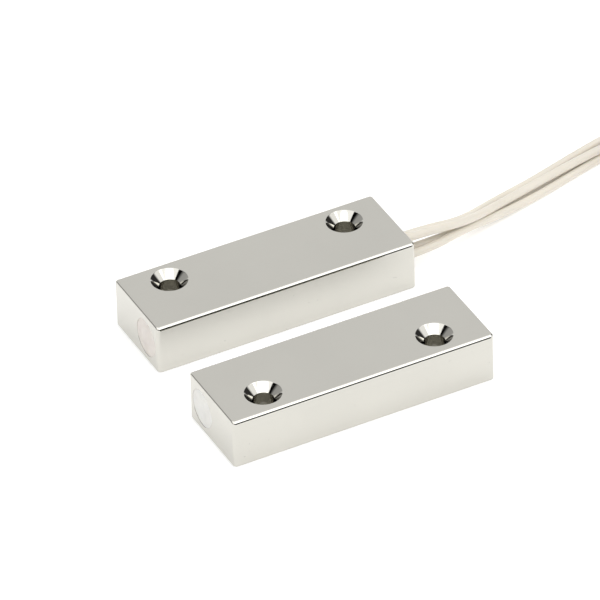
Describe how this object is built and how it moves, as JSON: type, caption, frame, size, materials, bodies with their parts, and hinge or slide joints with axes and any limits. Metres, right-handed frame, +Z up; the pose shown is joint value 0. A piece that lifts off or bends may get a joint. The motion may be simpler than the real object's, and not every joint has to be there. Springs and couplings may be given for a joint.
{
  "type": "door contact sensor",
  "caption": "Surface-mounted door contact: a plated metal reed-switch block with flying leads and a matching magnet block, each with countersunk screw holes.",
  "frame": {"origin": "on the base plane, at the middle of the box round the two units, the leads left out", "axes": "+X along the units towards the end where the leads leave, +Y from the magnet unit to the switch unit, +Z up out of the mounting surface"},
  "size_m": [0.134, 0.0502, 0.0094],
  "materials": {
    "plated_metal": "bright nickel plate over die-cast metal",
    "switch_potting": "pale beige cast epoxy",
    "magnet_potting": "pale grey cast epoxy",
    "sleeve_plastic": "matt insulating tube",
    "board_laminate": "lacquered glass-fibre laminate",
    "copper": "etched copper",
    "solder": "bright solder",
    "reed_glass": "clear greenish glass",
    "reed_metal": "nickel-iron",
    "tinned_copper": "tinned copper wire",
    "lead_insulation": "smooth off-white PVC",
    "tie_plastic": "white plastic-covered wire",
    "magnet_alloy": "ground aluminium-nickel-cobalt alloy"
  },
  "bodies": {
    "switch_unit": {"switch_housing": "plated_metal", "blind_end_potting": "switch_potting", "cable_end_potting": "switch_potting", "insulating_sleeve": "sleeve_plastic", "carrier_board": "board_laminate", "board_tracks": "copper", "solder_joints": "solder", "reed_glass": "reed_glass", "reed_lead_left": "reed_metal", "reed_lead_right": "reed_metal", "conductor_1": "tinned_copper", "conductor_2": "tinned_copper", "conductor_3": "tinned_copper", "conductor_4": "tinned_copper", "lead_1": "lead_insulation", "lead_2": "lead_insulation", "lead_3": "lead_insulation", "lead_4": "lead_insulation", "lead_coil": "lead_insulation", "lead_tips": "tinned_copper", "coil_tie": "tie_plastic"},
    "left_reed": {"reed_blade_left": "reed_metal"},
    "right_reed": {"reed_blade_right": "reed_metal"},
    "magnet_unit": {"magnet_housing": "plated_metal", "bar_magnet": "magnet_alloy", "magnet_potting_left": "magnet_potting", "magnet_potting_right": "magnet_potting"}
  },
  "joints": [
    {"name": "door_travel", "type": "slide", "parent": "switch_unit", "child": "magnet_unit", "axis": [0, 1, 0], "range_m": [-0.05, 0.012]},
    {"name": "left_reed_bend", "type": "hinge", "parent": "switch_unit", "child": "left_reed", "pos_m": [-0.0077, 0.0111, 0.00484], "axis": [0, -1, 0], "range_deg": [0, 0.55], "stiffness_Nm_per_rad": 0.0005},
    {"name": "right_reed_bend", "type": "hinge", "parent": "switch_unit", "child": "right_reed", "pos_m": [0.0023, 0.0111, 0.00516], "axis": [0, -1, 0], "range_deg": [0, 0.55], "stiffness_Nm_per_rad": 0.0005}
  ],
  "couplings": [
    {"joint": "right_reed_bend", "follows": "left_reed_bend", "ratio": 1}
  ]
}
